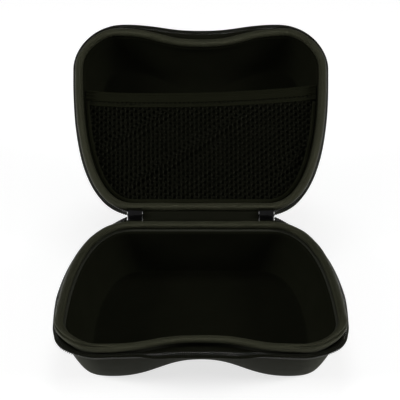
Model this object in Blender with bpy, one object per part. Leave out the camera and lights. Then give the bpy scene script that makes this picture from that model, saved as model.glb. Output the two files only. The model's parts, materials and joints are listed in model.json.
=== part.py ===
"""Controller carrying case: two moulded shells on a cloth hinge, closed by a zip round three sides.

Metres, +Z up. The origin is the middle of the base's flat underside, the front faces -Y and the
hinge runs along X at the rear. Both halves are built about the hinge axis with their rims in the
parting plane, and the lid's half then turns open on its pivot.
"""
import math
from typing import NamedTuple

import bpy
import bmesh
from mathutils import Matrix, Vector

MM = 0.001

# Rim line: the middle of the padded roll, seen from above, measured from the hinge axis
RIM_HALF_WIDTH = 86.2 * MM
RIM_REAR_HALF = 46.4 * MM
RIM_REAR = 7.0 * MM
RIM_WIDEST = 110.1 * MM
RIM_LOBE = 136.1 * MM
RIM_LOBE_X = 60.4 * MM
RIM_WAIST_DIP = 8.5 * MM

# Shells
BASE_DEPTH = 40.0 * MM
LID_DEPTH = 34.0 * MM
BASE_WALL = 5.2 * MM
LID_WALL = 3.0 * MM
BASE_FLOOR_INSET_SIDE = 13.4 * MM
BASE_FLOOR_INSET_LOBE = 18.5 * MM
BASE_FLOOR_INSET_REAR = 4.0 * MM
BASE_FLOOR_WAIST_DIP = 17.2 * MM
LID_FLOOR_INSET_SIDE = 12.0 * MM
LID_FLOOR_INSET_LOBE = 17.0 * MM
LID_FLOOR_INSET_REAR = 5.0 * MM
LID_FLOOR_WAIST_DIP = 15.0 * MM
FLOOR_WIDEST_BACK = 26.0 * MM
FLOOR_REAR_SHORT = 8.4 * MM
FLOOR_LOBE_IN = 7.4 * MM
WALL_BULGE = 0.265

# Padded roll, and where the shell's outer face stands under it
ROLL_RADIUS = 2.8 * MM
WALL_FACE_IN = 0.6 * MM

# Zip
COIL_RADIUS = 1.1 * MM
TAPE_THICKNESS = 0.7 * MM
TAPE_ROOT_DEPTH = 11.0 * MM
KNEE_DEPTH = 6.6 * MM
KNEE_OUT_FLARED = 0.85 * MM
KNEE_OUT_TUCKED = 0.45 * MM
ZIP_START = 0.035

# Distance of the zip's coil from the middle of the roll
ZIP_REACH_REAR = 6.4 * MM
ZIP_REACH_CORNER = 6.0 * MM
ZIP_REACH_SIDE = 5.6 * MM
ZIP_REACH_FRONT = 5.9 * MM
BASE_ZIP_REACH_FRONT = 6.2 * MM
BASE_ZIP_REACH_WAIST = 9.2 * MM
LID_ZIP_REACH_LOBE = 6.35 * MM
LID_ZIP_REACH_INNER_LOBE = 7.5 * MM
LID_ZIP_REACH_WAIST = 10.65 * MM

# The coil's way round the rim: place on the outline, distance from the roll, angle below it. The free
# tapes are tucked under the roll at the sides and stand out in the waist.
BASE_ZIP_TRACK = (
    (0.0, ZIP_REACH_REAR, 0),
    (0.25, ZIP_REACH_CORNER, 52),
    (0.75, ZIP_REACH_CORNER, 52),
    (0.95, ZIP_REACH_SIDE, 63),
    (1.15, ZIP_REACH_SIDE, 66),
    (1.5, BASE_ZIP_REACH_FRONT, 58.5),
    (1.75, ZIP_REACH_FRONT, 61),
    (2.15, ZIP_REACH_FRONT, 58),
    (3.0, BASE_ZIP_REACH_WAIST, 37.7),
)
LID_ZIP_TRACK = (
    (0.0, ZIP_REACH_REAR, 0),
    (0.2, ZIP_REACH_SIDE, 61),
    (1.0, ZIP_REACH_SIDE, 61),
    (1.35, ZIP_REACH_FRONT, 47.4),
    (1.85, LID_ZIP_REACH_LOBE, 39.2),
    (2.08, LID_ZIP_REACH_INNER_LOBE, 32),
    (3.0, LID_ZIP_REACH_WAIST, 22),
)

# Slider and pull tab
SLIDER_LENGTH = 10.0 * MM
SLIDER_WIDTH = 7.4 * MM
SLIDER_TAIL_WIDTH = 5.6 * MM
SLIDER_HEIGHT = 4.4 * MM
SLIDER_CHANNEL_WIDTH = 5.0 * MM
SLIDER_CHANNEL_HEIGHT = 2.0 * MM
SLIDER_SLOT = 0.9 * MM
BRIDGE_SPAN = 3.4 * MM
BRIDGE_BAR = 1.0 * MM
BRIDGE_WIDTH = 1.4 * MM
PULL_LENGTH = 24.0 * MM
PULL_WIDTH = 5.0 * MM
PULL_END_WIDTH = 6.4 * MM
PULL_THICKNESS = 1.2 * MM
PULL_EYE = 3.8 * MM
PIVOT_CLEARANCE = 0.45 * MM

# Hinge strip
STRIP_THICKNESS = 0.8 * MM
STRIP_DEPTH = 13.0 * MM

# Net pocket in the lid
POCKET_HEIGHT = 80.9 * MM
POCKET_SKEW = 0.028
POCKET_SAG = 3.5 * MM
BAND_WIDTH = 10.2 * MM
BAND_THICKNESS = 1.6 * MM
NET_THICKNESS = 0.8 * MM
NET_DEPTH = 7.4 * MM
NET_GAP_RADIUS = 4.6 * MM
NET_RIDGE = 2.3 * MM

# Lid angle from closed, place of the hinge axis, and the clearance between pieces that touch
LID_OPEN_DEG = 138.2
HINGE_Y = 70.0 * MM
TOUCH = 0.3 * MM
SEAM = 0.5 * MM

CORNER_STEPS = 13
SIDE_STEPS = 8
WAIST_STEPS = 9
WALL_STEPS = 8

ROLL_DEPTH = ROLL_RADIUS + TOUCH / 2
SHELL_TOP = ROLL_DEPTH + ROLL_RADIUS + TOUCH


class Line(NamedTuple):
    """An outline seen from above, right half, as distances from the hinge axis."""
    half_width: float
    rear_half: float
    rear: float
    widest: float
    lobe: float
    lobe_x: float
    dip: float
    corner: tuple = (0.92, 0.27)
    front: tuple = (0.43, 0.51)
    waist: tuple = (0.53, 0.50)


RIM = Line(RIM_HALF_WIDTH, RIM_REAR_HALF, RIM_REAR, RIM_WIDEST, RIM_LOBE, RIM_LOBE_X, RIM_WAIST_DIP)


def floor_line(side, lobe, rear, dip, front):
    """The flat panel's outline, which is drawn in from the rim and has a deeper waist."""
    return Line(
        RIM_HALF_WIDTH - side,
        RIM_REAR_HALF - FLOOR_REAR_SHORT,
        RIM_REAR + rear,
        RIM_WIDEST - FLOOR_WIDEST_BACK,
        RIM_LOBE - lobe,
        RIM_LOBE_X - FLOOR_LOBE_IN,
        dip,
        corner=(0.85, 0.35),
        front=front,
        waist=(0.46, 0.41),
    )


def bezier(points, t):
    """Point and direction on a cubic curve."""
    a, b, c, d = points
    s = 1 - t
    place = s ** 3 * a + 3 * s * s * t * b + 3 * s * t * t * c + t ** 3 * d
    way = s * s * (b - a) + 2 * s * t * (c - b) + t * t * (d - c)
    return place, way.normalized()


def stretch(line, part):
    """Control points of one stretch of the outline: corner, front or waist."""
    rear = Vector((line.rear_half, -line.rear))
    side = Vector((line.half_width, -line.widest))
    lobe = Vector((line.lobe_x, -line.lobe))
    middle = Vector((0, line.dip - line.lobe))
    if part == "corner":
        across = (line.half_width - line.rear_half) * line.corner[0]
        along = (line.widest - line.rear) * line.corner[1]
        return rear, rear + Vector((across, 0)), side + Vector((0, along)), side
    if part == "front":
        along = (line.lobe - line.widest) * line.front[0]
        across = (line.half_width - line.lobe_x) * line.front[1]
        return side, side - Vector((0, along)), lobe + Vector((across, 0)), lobe
    near = line.lobe_x * line.waist[0]
    far = line.lobe_x * line.waist[1]
    return lobe, lobe - Vector((near, 0)), middle + Vector((far, 0)), middle


class Station(NamedTuple):
    """A point on the outline, which way is out, and how far along it lies: corner 0, front 1, waist 2 to 3."""
    place: Vector
    out: Vector
    along: float


def station(line, part, share):
    place, way = bezier(stretch(line, part), share)
    return Station(place, Vector((-way.y, way.x)), ("corner", "front", "waist").index(part) + share)


def right_half(line, start=0.0):
    """Stations from the corner's start round to the middle of the front."""
    found = [station(line, "corner", start + (1 - start) * i / CORNER_STEPS) for i in range(CORNER_STEPS)]
    found += [station(line, "front", i / SIDE_STEPS) for i in range(SIDE_STEPS)]
    found += [station(line, "waist", i / WAIST_STEPS) for i in range(WAIST_STEPS + 1)]
    return found


def whole_loop(line, out=0.0):
    """Closed outline, moved outwards by a distance, as points round from the middle of the rear."""
    rear = [Vector((line.rear_half * i / 3, out - line.rear)) for i in range(3)]
    right = rear + [s.place + s.out * out for s in right_half(line)]
    left = [Vector((-p.x, p.y)) for p in reversed(right[1:-1])]
    return right + left


def smooth(low, high, value):
    t = min(1.0, max(0.0, (value - low) / (high - low)))
    return t * t * (3 - 2 * t)


def on_track(track, along):
    """The coil's distance from the roll and its angle below it, eased from one row of a track to the next."""
    for near, far in zip(track, track[1:]):
        if along <= far[0]:
            break
    t = smooth(near[0], far[0], along)
    return near[1] + (far[1] - near[1]) * t, math.radians(near[2] + (far[2] - near[2]) * t)


def fresh_scene():
    for item in list(bpy.data.objects):
        bpy.data.objects.remove(item, do_unlink=True)


def collection(name):
    made = bpy.data.collections.new(name)
    bpy.context.scene.collection.children.link(made)
    return made


def material(name, colour, roughness, metallic=0.0):
    made = bpy.data.materials.new(name)
    made.use_nodes = True
    shader = made.node_tree.nodes["Principled BSDF"]
    shader.inputs["Base Color"].default_value = (*colour, 1)
    shader.inputs["Roughness"].default_value = roughness
    shader.inputs["Metallic"].default_value = metallic
    return made


def place(item, group, look=None, parent=None):
    """Files an object in its collection, with its finish and what it hangs on."""
    for old in list(item.users_collection):
        old.objects.unlink(item)
    group.objects.link(item)
    if look:
        item.data.materials.append(look)
    item.parent = parent
    return item


def loft(name, rings, ends=True, around=True):
    """Closed skin through rings of equally many points."""
    shape = bmesh.new()
    rows = [[shape.verts.new(p) for p in ring] for ring in rings]
    count = len(rings[0])
    for low, high in zip(rows, rows[1:]):
        for i in range(count if around else count - 1):
            j = (i + 1) % count
            shape.faces.new((low[i], low[j], high[j], high[i]))
    if ends:
        shape.faces.new(rows[0])
        shape.faces.new(rows[-1])
    bmesh.ops.recalc_face_normals(shape, faces=shape.faces)
    mesh = bpy.data.meshes.new(name)
    shape.to_mesh(mesh)
    shape.free()
    mesh.shade_smooth()
    mesh.set_sharp_from_angle(angle=math.radians(40))
    return bpy.data.objects.new(name, mesh)


def tube(name, points, radius, cyclic, sides=2):
    """Round bar along a line of points."""
    curve = bpy.data.curves.new(name, "CURVE")
    curve.dimensions = "3D"
    curve.twist_mode = "Z_UP"
    curve.bevel_depth = radius
    curve.bevel_resolution = sides
    curve.use_fill_caps = not cyclic
    curve.render_resolution_u = 0
    spline = curve.splines.new("POLY")
    spline.points.add(len(points) - 1)
    for target, p in zip(spline.points, points):
        target.co = (*p, 1)
    spline.use_cyclic_u = cyclic
    return bpy.data.objects.new(name, curve)


def plate(name, outlines, thickness):
    """Flat plate from an outline and any holes in it."""
    curve = bpy.data.curves.new(name, "CURVE")
    curve.dimensions = "2D"
    curve.fill_mode = "BOTH"
    curve.extrude = thickness / 2
    curve.render_resolution_u = 0
    for outline in outlines:
        spline = curve.splines.new("POLY")
        spline.points.add(len(outline) - 1)
        for target, p in zip(spline.points, outline):
            target.co = (p[0], p[1], 0, 1)
        spline.use_cyclic_u = True
    return bpy.data.objects.new(name, curve)


def as_mesh(item):
    """Turns a curve object into a welded mesh, so that it can be cut and joined."""
    bpy.context.scene.collection.objects.link(item)
    bpy.context.view_layer.update()
    mesh = bpy.data.meshes.new_from_object(item.evaluated_get(bpy.context.evaluated_depsgraph_get()))
    shape = bmesh.new()
    shape.from_mesh(mesh)
    bmesh.ops.remove_doubles(shape, verts=shape.verts, dist=0.001 * MM)
    bmesh.ops.recalc_face_normals(shape, faces=shape.faces)
    shape.to_mesh(mesh)
    shape.free()
    made = bpy.data.objects.new(item.name + "_solid", mesh)
    made.matrix_world = item.matrix_world
    bpy.data.objects.remove(item)
    return made


def box(name, size, centre, group):
    """Rectangular block, kept as a cutter or as stock for one."""
    shape = bmesh.new()
    bmesh.ops.create_cube(shape, size=1)
    bmesh.ops.scale(shape, vec=size, verts=shape.verts)
    bmesh.ops.translate(shape, vec=centre, verts=shape.verts)
    mesh = bpy.data.meshes.new(name)
    shape.to_mesh(mesh)
    shape.free()
    made = bpy.data.objects.new(name, mesh)
    made.hide_render = True
    made.display_type = "WIRE"
    group.objects.link(made)
    return made


def shape_with(item, tool, operation):
    step = item.modifiers.new(tool.name, "BOOLEAN")
    step.operation = operation
    step.object = tool
    step.solver = "EXACT"


def wall_rings(rim, floor, depth, top, side):
    """Rings down a wall that leaves the rim upright and rounds into the flat panel."""
    rings = []
    for step in range(WALL_STEPS + 1):
        t = step / WALL_STEPS
        inward = 3 * (1 - t) * t * t * (1 - WALL_BULGE) + t ** 3
        down = 3 * (1 - t) ** 2 * t * WALL_BULGE + 3 * (1 - t) * t * t + t ** 3
        z = side * (top + (depth - top) * down)
        rings.append([Vector((*r.lerp(f, inward), z)) for r, f in zip(rim, floor)])
    return rings


def shell(name, wall, depth, floor, side):
    """Moulded tub: outer face up to the rim, across its top and down the inner face."""
    outer = wall_rings(whole_loop(RIM, -WALL_FACE_IN), whole_loop(floor), depth, SHELL_TOP, side)
    inner = wall_rings(
        whole_loop(RIM, -WALL_FACE_IN - wall), whole_loop(floor, -wall), depth - wall, SHELL_TOP, side
    )
    return loft(name, outer[::-1] + inner)


def rim_roll(name, side):
    line = [Vector((*p, side * ROLL_DEPTH)) for p in whole_loop(RIM)]
    return tube(name, line, ROLL_RADIUS, cyclic=True)


def zip_route(track):
    """Stations of the zip's right half, each with the coil's place: outwards and down from the rim."""
    rows = []
    for s in right_half(RIM, ZIP_START):
        reach, a = on_track(track, s.along)
        coil = Vector((math.cos(a), math.sin(a))) * reach + Vector((0, ROLL_DEPTH))
        rows.append((s, coil, math.sin(a)))
    return rows


def mirrored(points_by_row):
    """Adds the left half of the route to the right half, one row a station."""
    left = [[Vector((-p.x, p.y, p.z)) for p in row] for row in reversed(points_by_row[:-1])]
    return points_by_row + left


def zip_coil(name, side, track):
    rows = []
    for s, coil, _ in zip_route(track):
        rows.append([Vector((*(s.place + s.out * coil.x), side * coil.y))])
    line = [row[0] for row in mirrored(rows)]
    return tube(name, line, COIL_RADIUS, cyclic=False, sides=1)


def zip_tape(name, side, track):
    """Woven tape: sewn on the shell's outer face, bent at a knee, and free at the coil's edge."""
    half = TAPE_THICKNESS / 2
    root_out = half + TOUCH - WALL_FACE_IN
    rows = []
    for s, coil, tuck in zip_route(track):
        knee = Vector((root_out + KNEE_OUT_FLARED * (1 - tuck) + KNEE_OUT_TUCKED * tuck, KNEE_DEPTH))
        root = Vector((root_out, TAPE_ROOT_DEPTH))
        edge = coil + (knee - coil).normalized() * (COIL_RADIUS + TOUCH)
        line = [root, knee, edge]
        ring = []
        for sign in (1, -1):
            face = []
            for i, p in enumerate(line):
                way = (line[min(i + 1, 2)] - line[max(i - 1, 0)]).normalized()
                face.append(p + Vector((-way.y, way.x)) * half * sign)
            ring += face if sign > 0 else face[::-1]
        rows.append([Vector((*(s.place + s.out * p.x), side * p.y)) for p in ring])
    return loft(name, mirrored(rows))


def hinge_strip(name):
    """Cloth strip from the base's rear wall, round under the roll and over the hinge axis."""
    half = STRIP_THICKNESS / 2
    roll = Vector((-RIM_REAR, -ROLL_DEPTH))
    reach = ROLL_RADIUS + TOUCH + half
    wall_y = -RIM_REAR - WALL_FACE_IN + TOUCH + half
    line = [Vector((wall_y, -STRIP_DEPTH)), Vector((wall_y, -SHELL_TOP - reach / 2))]
    for degrees in (-55, -25, 5):
        a = math.radians(degrees)
        line.append(roll + reach * Vector((math.cos(a), math.sin(a))))
    lid_roll = Vector((-RIM_REAR, ROLL_DEPTH))
    lid_roll.rotate(Matrix.Rotation(-math.radians(LID_OPEN_DEG), 2))
    lip = lid_roll.normalized() * (lid_roll.length - ROLL_RADIUS - TOUCH)
    line += [Vector((-1.6 * MM, -0.7 * MM)), Vector((0, -0.3 * MM)), lip * 0.5, lip]
    faces = []
    for sign in (1, -1):
        face = []
        for i, p in enumerate(line):
            way = (line[min(i + 1, len(line) - 1)] - line[max(i - 1, 0)]).normalized()
            face.append(p + Vector((-way.y, way.x)) * half * sign)
        faces += face if sign > 0 else face[::-1]
    length = 2 * (slider_middle() - SLIDER_LENGTH / 2 - TOUCH)
    made = plate(name, [faces], length)
    made.matrix_world = Matrix(((0, 0, 1, 0), (1, 0, 0, 0), (0, 1, 0, 0), (0, 0, 0, 1)))
    return made


def slider_middle():
    """The slider is parked at the zip's end, with its mouth against the coils."""
    start = station(RIM, "corner", ZIP_START)
    return start.place.x - TOUCH - SLIDER_LENGTH / 2


def slider(name, mouth, cutters):
    """Zip slider: two plates joined by the post at the mouth, side lips, and the pull's bridge."""
    half = SLIDER_LENGTH / 2
    wide = SLIDER_WIDTH / 2
    tail = SLIDER_TAIL_WIDTH / 2
    nose = 1.2 * MM
    outline = [
        (-half, -tail), (half * 0.1, -tail), (half - nose, -wide), (half, -wide + nose),
        (half, wide - nose), (half - nose, wide), (half * 0.1, tail), (-half, tail),
    ]
    body = as_mesh(plate(name, [outline], SLIDER_HEIGHT))
    body.name = name
    over = 2 * MM
    channel = (SLIDER_LENGTH + over, SLIDER_CHANNEL_WIDTH, SLIDER_CHANNEL_HEIGHT)
    slot = (SLIDER_LENGTH + over, SLIDER_WIDTH + over, SLIDER_SLOT)
    shape_with(body, box(name + "_channel", channel, (0, 0, 0), cutters), "DIFFERENCE")
    shape_with(body, box(name + "_slot", slot, (0, 0, 0), cutters), "DIFFERENCE")
    post = (2.4 * MM, 1.6 * MM, SLIDER_HEIGHT - 0.8 * MM)
    shape_with(body, box(name + "_post", post, (half - 1.9 * MM, 0, 0), cutters), "UNION")
    foot = -SLIDER_HEIGHT / 2 + 0.4 * MM
    inside = -SLIDER_HEIGHT / 2 - PULL_THICKNESS - 2 * PIVOT_CLEARANCE
    outside = inside - BRIDGE_BAR
    span = BRIDGE_SPAN / 2
    reach = span + BRIDGE_BAR
    arch = [
        (-reach, foot), (-reach, outside + 0.5 * MM), (-reach + 0.5 * MM, outside),
        (reach - 0.5 * MM, outside), (reach, outside + 0.5 * MM), (reach, foot),
        (span, foot), (span, inside), (-span, inside), (-span, foot),
    ]
    bridge = plate(name + "_bridge", [arch], BRIDGE_WIDTH)
    bridge.matrix_world = Matrix(((1, 0, 0, 0), (0, 0, -1, 0), (0, 1, 0, 0), (0, 0, 0, 1)))
    bridge = as_mesh(bridge)
    bridge.name = name + "_bridge"
    bridge.hide_render = True
    bridge.display_type = "WIRE"
    cutters.objects.link(bridge)
    shape_with(body, bridge, "UNION")
    turn = 0 if mouth > 0 else math.pi
    body.rotation_euler.z = turn
    tools = [m.object for m in body.modifiers]
    for tool in tools:
        tool.rotation_euler.z += turn
    return body, tools


def pull_drop():
    """Depth of the pull's pivot below the hinge axis."""
    return SLIDER_HEIGHT / 2 + PIVOT_CLEARANCE + PULL_THICKNESS / 2


def pull_tab(name):
    """Flat tab with an eye round the slider's bridge and a rounded, wider free end."""
    half = PULL_WIDTH / 2
    end = PULL_END_WIDTH / 2
    bar = PULL_THICKNESS / 2
    tip = PULL_LENGTH - bar - end
    outline = [(-half, -bar), (half, -bar), (half, PULL_EYE + 3 * MM), (end, PULL_EYE + 6 * MM), (end, tip)]
    for step in range(1, 8):
        a = math.pi * step / 8
        outline.append((end * math.cos(a), tip + end * math.sin(a)))
    outline += [(-end, tip), (-end, PULL_EYE + 6 * MM), (-half, PULL_EYE + 3 * MM)]
    gap = BRIDGE_WIDTH / 2 + PIVOT_CLEARANCE
    eye = [(-gap, bar), (gap, bar), (gap, PULL_EYE), (-gap, PULL_EYE)]
    made = plate(name, [outline, eye], PULL_THICKNESS)
    made.rotation_euler = Matrix(((0, 0, -1), (1, 0, 0), (0, -1, 0))).to_euler()
    return made


def band_low(x):
    """Distance of the elastic band's lower edge from the hinge axis: it sags and sits askew."""
    return POCKET_HEIGHT + POCKET_SKEW * x + POCKET_SAG * (x / RIM_HALF_WIDTH) ** 2


def lining_line(gap):
    """Outline just inside the lid's lining at the rim."""
    return whole_loop(RIM, -WALL_FACE_IN - LID_WALL - gap)


def pocket_band(name):
    wall = lining_line(SEAM)

    def edge(extra):
        """Points across the lid between its walls, a distance above the band's lower edge."""
        reach = max(p.x for p in wall if -p.y < band_low(p.x) + extra)
        steps = [reach * (i / 10 - 1) for i in range(21)]
        return [Vector((x, -band_low(x) - extra)) for x in steps]

    return plate(name, [edge(0) + edge(BAND_WIDTH)[::-1]], BAND_THICKNESS)


def inside(p, outline, margin):
    """Whether a point is in an outline and at least a margin from its edge."""
    crossings = 0
    for a, b in zip(outline, outline[1:] + outline[:1]):
        if (a.y > p.y) != (b.y > p.y):
            if p.x < a.x + (p.y - a.y) * (b.x - a.x) / (b.y - a.y):
                crossings += 1
        run = b - a
        t = min(1, max(0, (p - a).dot(run) / max(run.length_squared, 1e-12)))
        if (a + run * t - p).length < margin:
            return False
    return crossings % 2 == 1


def pocket_net(name):
    """Net panel: one sheet with six-sided gaps in staggered columns, from the rear rim up to the band."""
    wall = lining_line(SEAM)
    sides = [p for p in wall if -p.y < band_low(p.x) - TOUCH]
    right = [p for p in sides if p.x >= 0]
    left = [p for p in sides if p.x < 0]
    reach = right[-1].x
    top = []
    for i in range(21):
        x = reach * (1 - i / 10)
        top.append(Vector((x, -band_low(x) + TOUCH)))
    outline = right + top + left
    row_step = math.sqrt(3) * NET_GAP_RADIUS + NET_RIDGE
    column_step = 1.5 * NET_GAP_RADIUS + NET_RIDGE * math.sqrt(3) / 2
    gaps = []
    rows = int(POCKET_HEIGHT / row_step) + 1
    columns = int(RIM_HALF_WIDTH / column_step) + 1
    first = min(-p.y for p in outline) + NET_GAP_RADIUS + NET_RIDGE + TOUCH / 10
    corners = [math.radians(60 * k) for k in range(6)]
    ring = [Vector((math.cos(a), math.sin(a))) * NET_GAP_RADIUS for a in corners]
    for column in range(-columns, columns + 1):
        for row in range(rows):
            middle = Vector((column * column_step, -first - (row + 0.5 * (column % 2)) * row_step))
            if inside(middle, outline, NET_GAP_RADIUS + NET_RIDGE):
                gaps.append([middle + v for v in ring])
    return plate(name, [outline] + gaps, NET_THICKNESS)


def build():
    fresh_scene()
    case = collection("carrying_case")
    cutters = collection("cutters")
    shell_cloth = material("shell_cloth", (0.022, 0.023, 0.019), 0.75)
    roll_cloth = material("roll_cloth", (0.028, 0.029, 0.021), 0.9)
    tape_cloth = material("tape_cloth", (0.006, 0.007, 0.005), 0.8)
    coil_nylon = material("coil_nylon", (0.022, 0.023, 0.019), 0.3)
    slider_metal = material("slider_metal", (0.030, 0.030, 0.032), 0.35, 1.0)
    net_cloth = material("net_cloth", (0.012, 0.013, 0.010), 0.85)
    band_elastic = material("band_elastic", (0.014, 0.015, 0.010), 0.85)

    hinge = Vector((0, HINGE_Y, BASE_DEPTH))
    base_floor = floor_line(
        BASE_FLOOR_INSET_SIDE, BASE_FLOOR_INSET_LOBE, BASE_FLOOR_INSET_REAR, BASE_FLOOR_WAIST_DIP,
        front=(0.78, 1.0),
    )
    lid_floor = floor_line(
        LID_FLOOR_INSET_SIDE, LID_FLOOR_INSET_LOBE, LID_FLOOR_INSET_REAR, LID_FLOOR_WAIST_DIP,
        front=(0.62, 0.94),
    )

    base_pieces = [
        (shell("base_shell", BASE_WALL, BASE_DEPTH, base_floor, -1), shell_cloth),
        (rim_roll("base_rim_roll", -1), roll_cloth),
        (zip_tape("base_zip_tape", -1, BASE_ZIP_TRACK), tape_cloth),
        (zip_coil("base_zip_coil", -1, BASE_ZIP_TRACK), coil_nylon),
        (hinge_strip("hinge_strip"), tape_cloth),
    ]
    for item, look in base_pieces:
        place(item, case, look)
        item.location = hinge

    for end, mouth in (("left", -1), ("right", 1)):
        spot = hinge + Vector((mouth * slider_middle(), 0, 0))
        body, tools = slider("zip_slider_" + end, mouth, cutters)
        place(body, case, slider_metal)
        for item in [body] + tools:
            item.location += spot
        pivot = spot - Vector((0, 0, pull_drop()))
        tab = place(pull_tab("zip_pull_" + end), case, slider_metal)
        tab.location = pivot

    lid_pivot = bpy.data.objects.new("lid_pivot", None)
    place(lid_pivot, case)
    lid_pivot.location = hinge
    lid_pivot.rotation_euler.x = -math.radians(LID_OPEN_DEG)
    lid_pieces = [
        (shell("lid_shell", LID_WALL, LID_DEPTH, lid_floor, 1), shell_cloth, 0),
        (rim_roll("lid_rim_roll", 1), roll_cloth, 0),
        (zip_tape("lid_zip_tape", 1, LID_ZIP_TRACK), tape_cloth, 0),
        (zip_coil("lid_zip_coil", 1, LID_ZIP_TRACK), coil_nylon, 0),
        (pocket_net("pocket_net"), net_cloth, NET_DEPTH),
        (pocket_band("pocket_band"), band_elastic, NET_DEPTH),
    ]
    for item, look, depth in lid_pieces:
        place(item, case, look, lid_pivot)
        item.location.z = depth


build()
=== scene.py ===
import json
import math
from collections import namedtuple

import bmesh
import bpy
import numpy as np
from mathutils import Matrix, Vector, noise


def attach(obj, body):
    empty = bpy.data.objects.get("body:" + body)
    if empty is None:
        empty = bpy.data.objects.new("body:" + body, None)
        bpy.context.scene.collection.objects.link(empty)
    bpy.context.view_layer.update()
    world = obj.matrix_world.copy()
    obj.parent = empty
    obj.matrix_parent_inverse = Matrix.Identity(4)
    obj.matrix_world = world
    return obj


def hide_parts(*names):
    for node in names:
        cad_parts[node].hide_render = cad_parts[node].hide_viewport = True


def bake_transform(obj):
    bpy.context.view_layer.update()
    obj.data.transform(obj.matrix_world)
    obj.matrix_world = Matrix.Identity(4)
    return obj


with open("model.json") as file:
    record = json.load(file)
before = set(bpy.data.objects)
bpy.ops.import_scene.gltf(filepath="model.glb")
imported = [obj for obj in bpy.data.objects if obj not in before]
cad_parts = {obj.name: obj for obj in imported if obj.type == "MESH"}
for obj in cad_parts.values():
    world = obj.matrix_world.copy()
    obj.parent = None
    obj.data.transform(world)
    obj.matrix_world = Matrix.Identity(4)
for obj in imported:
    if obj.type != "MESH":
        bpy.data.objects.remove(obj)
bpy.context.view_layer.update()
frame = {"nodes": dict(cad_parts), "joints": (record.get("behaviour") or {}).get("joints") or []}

MM = 0.001

# The rim line and shell sizes of the CAD source, in millimetres from the hinge axis
RIM = dict(half=86.2, rear_half=46.4, rear=7.0, widest=110.1, lobe=136.1, lobe_x=60.4, dip=8.5,
           corner=(0.92, 0.27), front=(0.43, 0.51), waist=(0.53, 0.50))
BASE_FLOOR = dict(half=72.8, rear_half=38.0, rear=11.0, widest=84.1, lobe=117.6, lobe_x=53.0, dip=17.2,
                  corner=(0.85, 0.35), front=(0.78, 1.0), waist=(0.46, 0.41))
LID_FLOOR = dict(half=74.2, rear_half=38.0, rear=12.0, widest=84.1, lobe=119.1, lobe_x=53.0, dip=15.0,
                 corner=(0.85, 0.35), front=(0.62, 0.94), waist=(0.46, 0.41))
BASE_DEPTH = 40.0
LID_DEPTH = 34.0
BASE_WALL = 5.2
LID_WALL = 3.0
WALL_BULGE = 0.265
WALL_FACE_IN = 0.6
SHELL_TOP = 5.2
ROLL_DEPTH = 2.95
ROLL_WIDE = 2.8
ROLL_TALL = 2.5
LID_OPEN = math.radians(138.2)
POCKET_HEIGHT = 80.9
POCKET_SKEW = 0.028
POCKET_SAG = 3.5 / RIM["half"] ** 2
BAND_WIDTH = 10.2
BAND_STITCH = 3.12
NET_DEPTH = 7.4

HINGE = Vector(next(j["pos_m"] for j in frame["joints"] if j["name"] == "lid_hinge"))
IN_BASE = Matrix.Translation(HINGE) @ Matrix.Scale(MM, 4)
IN_LID = Matrix.Translation(HINGE) @ Matrix.Rotation(-LID_OPEN, 4, "X") @ Matrix.Scale(MM, 4)


# Outlines

def bezier(points, t):
    """Points on a cubic curve."""
    a, b, c, d = (np.array(p, float) for p in points)
    t = t[:, None]
    s = 1 - t
    return s ** 3 * a + 3 * s * s * t * b + 3 * s * t * t * c + t ** 3 * d


def right_half(line, n=(60, 36, 48, 14)):
    """Right half of an outline from the middle of the rear to the middle of the front.

    Gives points and a position: -1 to 0 along the rear, then 0 to 3 over corner, front and waist.
    """
    rear = (line["rear_half"], -line["rear"])
    side = (line["half"], -line["widest"])
    lobe = (line["lobe_x"], -line["lobe"])
    middle = (0, line["dip"] - line["lobe"])
    c, f, w = line["corner"], line["front"], line["waist"]
    corner = (rear, (rear[0] + (side[0] - rear[0]) * c[0], rear[1]),
              (side[0], side[1] + (line["widest"] - line["rear"]) * c[1]), side)
    front = (side, (side[0], side[1] - (line["lobe"] - line["widest"]) * f[0]),
             (lobe[0] + (side[0] - lobe[0]) * f[1], lobe[1]), lobe)
    waist = (lobe, (lobe[0] * (1 - w[0]), lobe[1]), (lobe[0] * w[1], middle[1]), middle)
    back = np.linspace(0, 1, n[3], endpoint=False)
    points = [np.stack([back * rear[0], np.full_like(back, rear[1])], 1)]
    where = [back - 1]
    for k, (part, count) in enumerate(zip((corner, front, waist), n)):
        t = np.linspace(0, 1, count, endpoint=k == 2)
        points.append(bezier(part, t))
        where.append(t + k)
    return np.concatenate(points), np.concatenate(where)


def outline(line):
    """Closed outline from the middle of the rear, right side first, with its outward directions."""
    p, where = right_half(line)
    left = p[1:-1][::-1] * (-1, 1)
    p = np.concatenate([p, left])
    where = np.concatenate([where, where[1:-1][::-1]])
    way = np.roll(p, -1, 0) - np.roll(p, 1, 0)
    out = np.stack([-way[:, 1], way[:, 0]], 1)
    out /= np.linalg.norm(out, axis=1)[:, None]
    return p, out, where


def spaced(p, out, where, step, closed=True):
    """The same outline with points at equal steps of length."""
    if closed:
        p, out, where = (np.concatenate([a, a[:1]]) for a in (p, out, where))
    run = np.concatenate([[0], np.cumsum(np.linalg.norm(np.diff(p, axis=0), axis=1))])
    count = max(8, int(round(run[-1] / step)))
    at = np.linspace(0, run[-1], count, endpoint=not closed)

    def along(v):
        return np.interp(at, run, v)

    q = np.stack([along(p[:, 0]), along(p[:, 1])], 1)
    o = np.stack([along(out[:, 0]), along(out[:, 1])], 1)
    o /= np.linalg.norm(o, axis=1)[:, None]
    return q, o, along(where), at


def smooth(low, high, v):
    """Eases from 0 to 1 between two values."""
    t = np.clip((v - low) / (high - low), 0, 1)
    return t * t * (3 - 2 * t)


def waves(values, size, seed):
    """Smooth noise from -1 to 1 for each row of coordinates."""
    shift = Vector((seed * 17.3, seed * 5.1, seed * 9.7))
    return np.array([noise.noise(Vector(v) / size + shift) for v in values])


# Meshes

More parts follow.
